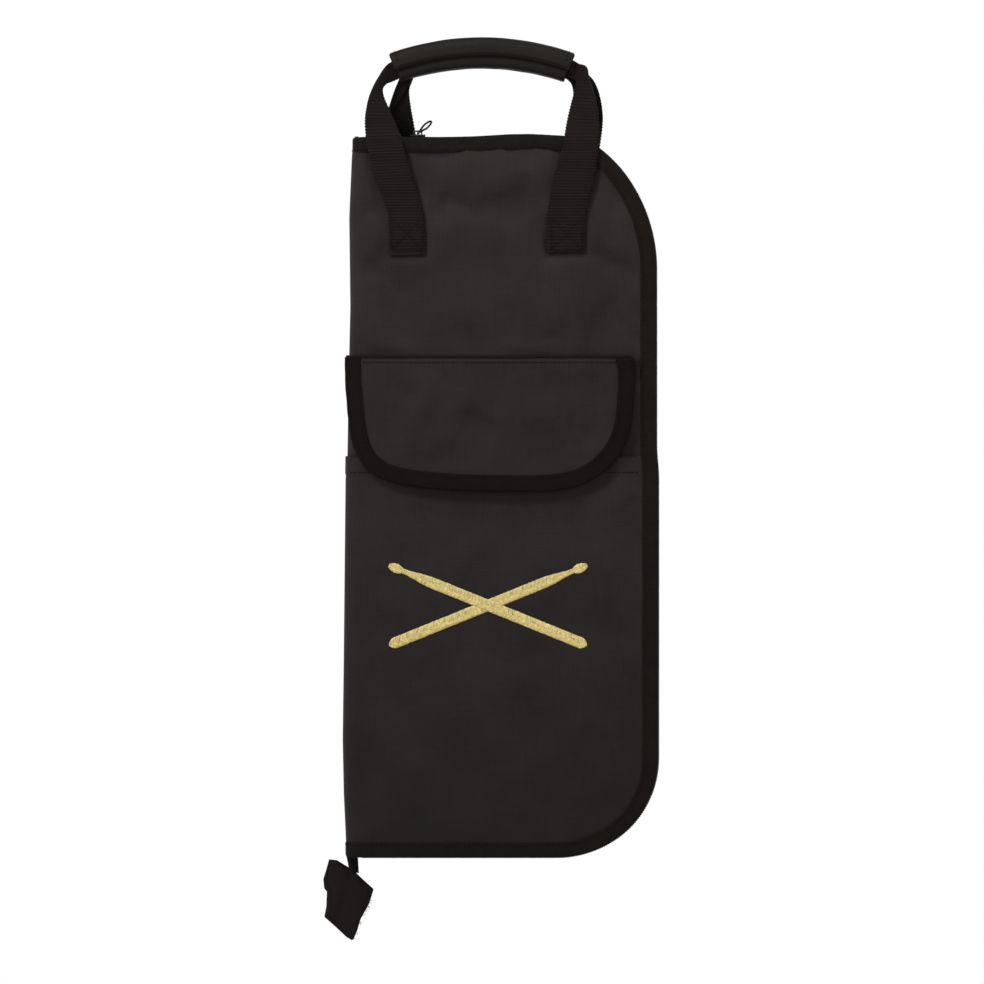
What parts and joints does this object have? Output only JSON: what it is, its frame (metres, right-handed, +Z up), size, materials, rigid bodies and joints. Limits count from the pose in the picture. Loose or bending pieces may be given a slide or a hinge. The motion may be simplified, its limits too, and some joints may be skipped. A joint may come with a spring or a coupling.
{
  "type": "drum stick bag",
  "caption": "Zipped soft case for drum sticks that opens like a book, with twin webbing handles, a padded grip wrap and a flapped outer pocket.",
  "frame": {"origin": "middle of the underside of the hand grip, between the two handles; the bag hangs below it", "axes": "+Z up along the hanging bag, front face with the outer pocket towards -Y, spine towards -X and zipper's long side towards +X"},
  "size_m": [0.223, 0.0413, 0.605],
  "materials": {
    "cover_fabric": "black coated woven nylon",
    "lining_fabric": "black smooth nylon lining",
    "foam": "grey open foam padding",
    "binding_tape": "black grosgrain binding tape",
    "webbing": "black ribbed polypropylene webbing",
    "wrap_fabric": "black padded grip fabric",
    "hook_loop": "black hook and loop tape",
    "zipper_tape": "black woven zipper tape",
    "zipper_coil": "black nylon coil",
    "zipper_metal": "black enamelled zinc, slightly worn",
    "gold_thread": "shiny gold embroidery thread"
  },
  "bodies": {
    "handle": {"rear_handle_webbing": "webbing", "wrap_back": "wrap_fabric"},
    "wrap_upper": {"wrap_upper_wing": "wrap_fabric", "wrap_hook_strip": "hook_loop"},
    "wrap_lower": {"wrap_lower_wing": "wrap_fabric", "wrap_loop_strip": "hook_loop"},
    "back_cover": {"back_cover_fabric": "cover_fabric", "back_cover_foam": "foam", "back_cover_lining": "lining_fabric", "back_cover_binding": "binding_tape", "back_zipper_tape": "zipper_tape", "back_zipper_coil": "zipper_coil", "back_zipper_stop": "zipper_metal", "rear_handle_ends": "webbing", "stick_pocket_panel": "lining_fabric", "stick_pocket_binding": "binding_tape"},
    "spine": {"spine_fabric": "cover_fabric", "spine_lining": "lining_fabric"},
    "front_cover": {"front_cover_fabric": "cover_fabric", "front_cover_foam": "foam", "front_cover_lining": "lining_fabric", "front_cover_binding": "binding_tape", "front_zipper_tape": "zipper_tape", "front_zipper_coil": "zipper_coil", "front_zipper_stop": "zipper_metal", "front_handle_ends": "webbing", "outer_pocket_panel": "cover_fabric", "pocket_loop_strip": "hook_loop", "emblem_embroidery": "gold_thread"},
    "pocket_flap": {"flap_fabric": "cover_fabric", "flap_binding": "binding_tape", "flap_hook_strip": "hook_loop"},
    "front_handle": {"front_handle_webbing": "webbing"},
    "zip_slider": {"zipper_slider": "zipper_metal"},
    "zip_pull": {"zipper_pull": "zipper_metal"},
    "zip_tail": {"tail_tape_neck": "zipper_tape", "tail_fabric_tab": "wrap_fabric"}
  },
  "joints": [
    {"name": "bag_swing", "type": "hinge", "parent": "handle", "child": "back_cover", "pos_m": [0, 0.016, -0.098], "axis": [1, 0, 0], "range_deg": [0, 150]},
    {"name": "spine_fold", "type": "hinge", "parent": "back_cover", "child": "spine", "pos_m": [-0.0894, 0.012, -0.29], "axis": [0, 0, -1], "range_deg": [0, 90]},
    {"name": "cover_open", "type": "hinge", "parent": "spine", "child": "front_cover", "pos_m": [-0.0894, -0.012, -0.29], "axis": [0, 0, -1], "range_deg": [0, 90]},
    {"name": "front_handle_fold", "type": "hinge", "parent": "front_cover", "child": "front_handle", "pos_m": [0, -0.016, -0.098], "axis": [-1, 0, 0], "range_deg": [-165, 0]},
    {"name": "flap_open", "type": "hinge", "parent": "front_cover", "child": "pocket_flap", "pos_m": [0, -0.0155, -0.194], "axis": [-1, 0, 0], "range_deg": [0, 135]},
    {"name": "wrap_upper_open", "type": "hinge", "parent": "handle", "child": "wrap_upper", "pos_m": [0, 0.007, 0.0185], "axis": [-1, 0, 0], "range_deg": [0, 150], "deforming": ["wrap_upper_wing", "wrap_hook_strip"]},
    {"name": "wrap_lower_open", "type": "hinge", "parent": "handle", "child": "wrap_lower", "pos_m": [0, 0.007, 0.0015], "axis": [1, 0, 0], "range_deg": [0, 120], "deforming": ["wrap_lower_wing", "wrap_loop_strip"]},
    {"name": "zip_slide", "type": "slide", "parent": "back_cover", "child": "zip_slider", "axis": [1, 0, 0], "range_m": [-0.034, 0.088]},
    {"name": "pull_swing", "type": "hinge", "parent": "zip_slider", "child": "zip_pull", "pos_m": [-0.043, 0, -0.0435], "axis": [0, 1, 0], "range_deg": [-90, 30]},
    {"name": "tail_swing", "type": "hinge", "parent": "spine", "child": "zip_tail", "pos_m": [-0.086, 0, -0.5298], "axis": [1, 0, 0], "range_deg": [-60, 60]}
  ],
  "couplings": [
    {"joint": "spine_fold", "follows": "cover_open", "ratio": 1}
  ]
}
